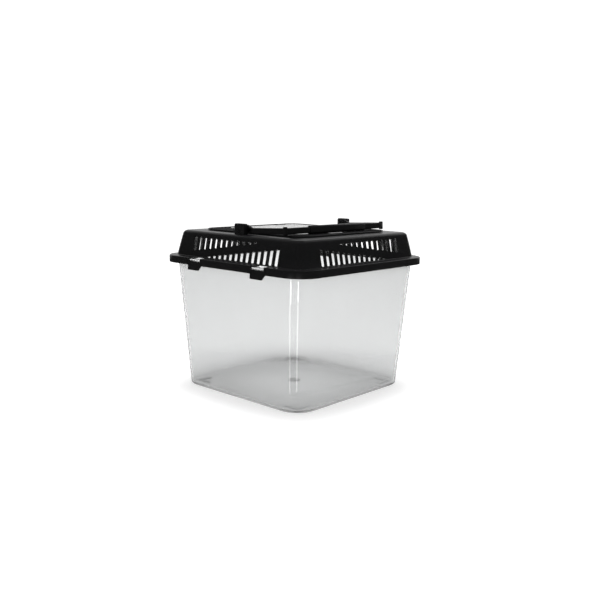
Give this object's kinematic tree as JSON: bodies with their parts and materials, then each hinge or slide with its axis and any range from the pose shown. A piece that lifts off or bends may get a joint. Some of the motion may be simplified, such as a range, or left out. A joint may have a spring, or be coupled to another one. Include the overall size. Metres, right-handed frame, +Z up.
{
  "type": "plastic pet keeper",
  "caption": "Small clear plastic pet keeper: tapered tank, dark press-on lid with rows of air slots, clear feeding hatch and folding carry handle.",
  "frame": {"origin": "middle of the underside of the tank's feet", "axes": "+Z up, +X to the right side that the carry handle folds to, front with two clips at -Y"},
  "size_m": [0.19, 0.194, 0.1658],
  "materials": {
    "clear_tank": "clear glossy",
    "dark_plastic": "semi-gloss black",
    "clear_hatch": "clear glossy"
  },
  "bodies": {
    "tank": {"tank": "clear_tank"},
    "lid": {"ventilated_lid": "dark_plastic"},
    "handle": {"carry_handle": "dark_plastic"},
    "hatch": {"feeding_hatch": "clear_hatch"},
    "clip_front_left": {"clip_front_left": "dark_plastic"},
    "clip_front_right": {"clip_front_right": "dark_plastic"},
    "clip_back_left": {"clip_back_left": "dark_plastic"},
    "clip_back_right": {"clip_back_right": "dark_plastic"}
  },
  "joints": [
    {"name": "lid_lift", "type": "slide", "parent": "tank", "child": "lid", "axis": [0, 0, 1], "range_m": [0, 0.07]},
    {"name": "handle_fold", "type": "hinge", "parent": "lid", "child": "handle", "pos_m": [0, 0, 0.1588], "axis": [0, -1, 0], "range_deg": [0, 87]},
    {"name": "hatch_open", "type": "hinge", "parent": "lid", "child": "hatch", "pos_m": [-0.051, 0, 0.1573], "axis": [0, -1, 0], "range_deg": [0, 105]},
    {"name": "clip_front_left_bend", "type": "hinge", "parent": "lid", "child": "clip_front_left", "pos_m": [-0.0427, -0.0941, 0.13], "axis": [-1, 0, 0], "range_deg": [0, 20], "stiffness_Nm_per_rad": 0.2},
    {"name": "clip_front_right_bend", "type": "hinge", "parent": "lid", "child": "clip_front_right", "pos_m": [0.0427, -0.0941, 0.13], "axis": [-1, 0, 0], "range_deg": [0, 20], "stiffness_Nm_per_rad": 0.2},
    {"name": "clip_back_left_bend", "type": "hinge", "parent": "lid", "child": "clip_back_left", "pos_m": [-0.0427, 0.0941, 0.13], "axis": [1, 0, 0], "range_deg": [0, 20], "stiffness_Nm_per_rad": 0.2},
    {"name": "clip_back_right_bend", "type": "hinge", "parent": "lid", "child": "clip_back_right", "pos_m": [0.0427, 0.0941, 0.13], "axis": [1, 0, 0], "range_deg": [0, 20], "stiffness_Nm_per_rad": 0.2}
  ]
}
